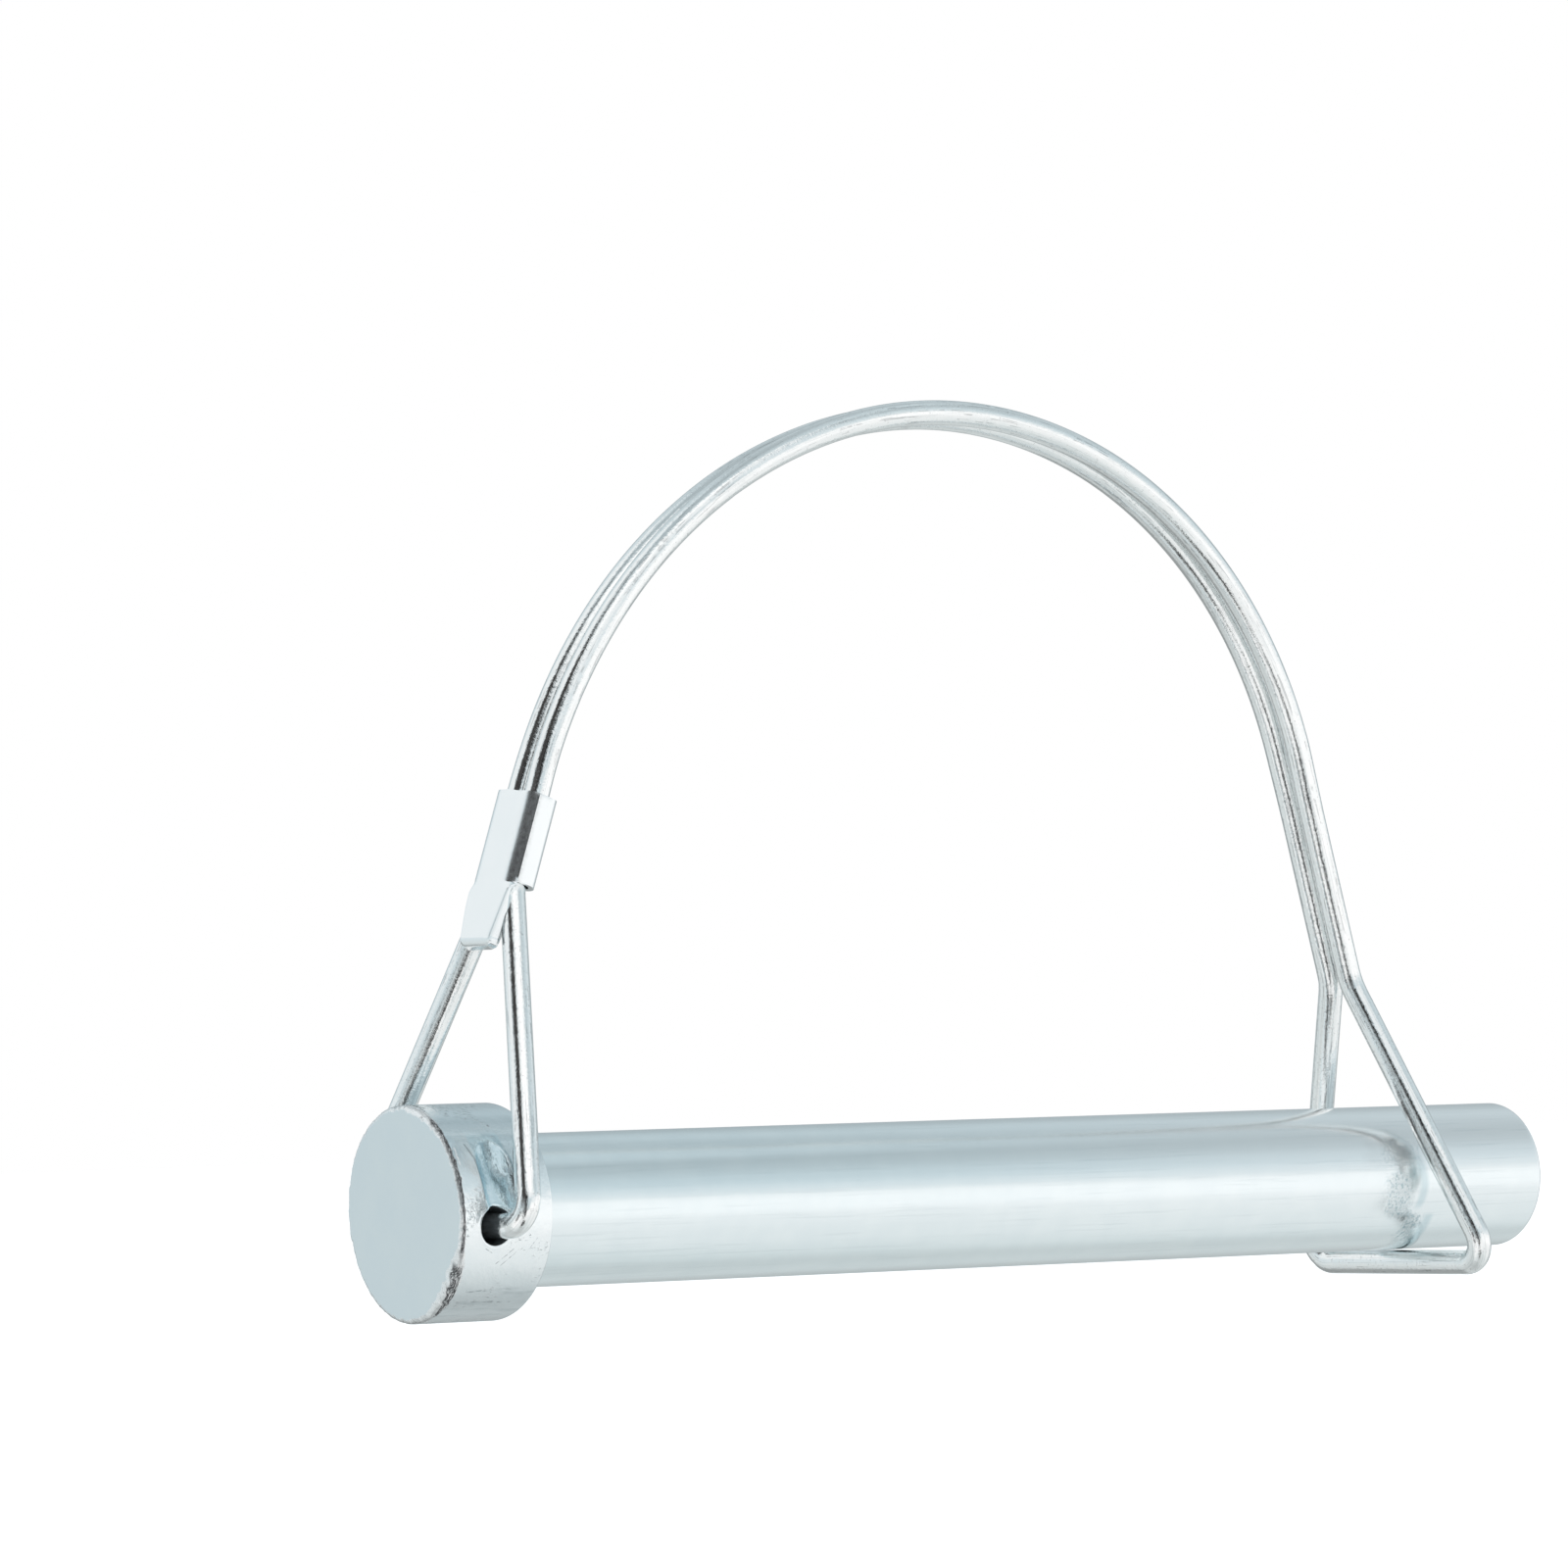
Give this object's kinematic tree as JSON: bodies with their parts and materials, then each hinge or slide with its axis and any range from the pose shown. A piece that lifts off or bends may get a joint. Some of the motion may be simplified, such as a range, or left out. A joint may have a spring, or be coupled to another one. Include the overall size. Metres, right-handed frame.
{
  "type": "hitch pin lock",
  "caption": "Headed steel pin with a spring-wire bail that hooks in a cross hole in the head, arches over the shank and snaps round the tip.",
  "frame": {"origin": "on the pin's axis at the shoulder, the head's bearing face towards the shank", "axes": "+X along the shank towards the tip, +Y along the cross hole in the head, +Z from the shank towards the crown of the closed bail"},
  "size_m": [0.0902, 0.0189, 0.0574],
  "materials": {
    "zinc_pin": "bright blue-white zinc plate over turned bar, fine lengthwise streaks, worn at the rims",
    "zinc_wire": "bright zinc plate on drawn spring wire, near mirror, with small tool nicks at the bends",
    "zinc_clip": "bright zinc plated sheet, semi-gloss, burnished at the folds"
  },
  "bodies": {
    "pin": {"pin_body": "zinc_pin"},
    "bail": {"bail_wire": "zinc_wire", "clip": "zinc_clip"}
  },
  "joints": [
    {"name": "bail_hinge", "type": "hinge", "parent": "pin", "child": "bail", "pos_m": [-0.00387, 0, -0.00075], "axis": [0, -1, 0], "range_deg": [0, 266.8]}
  ]
}
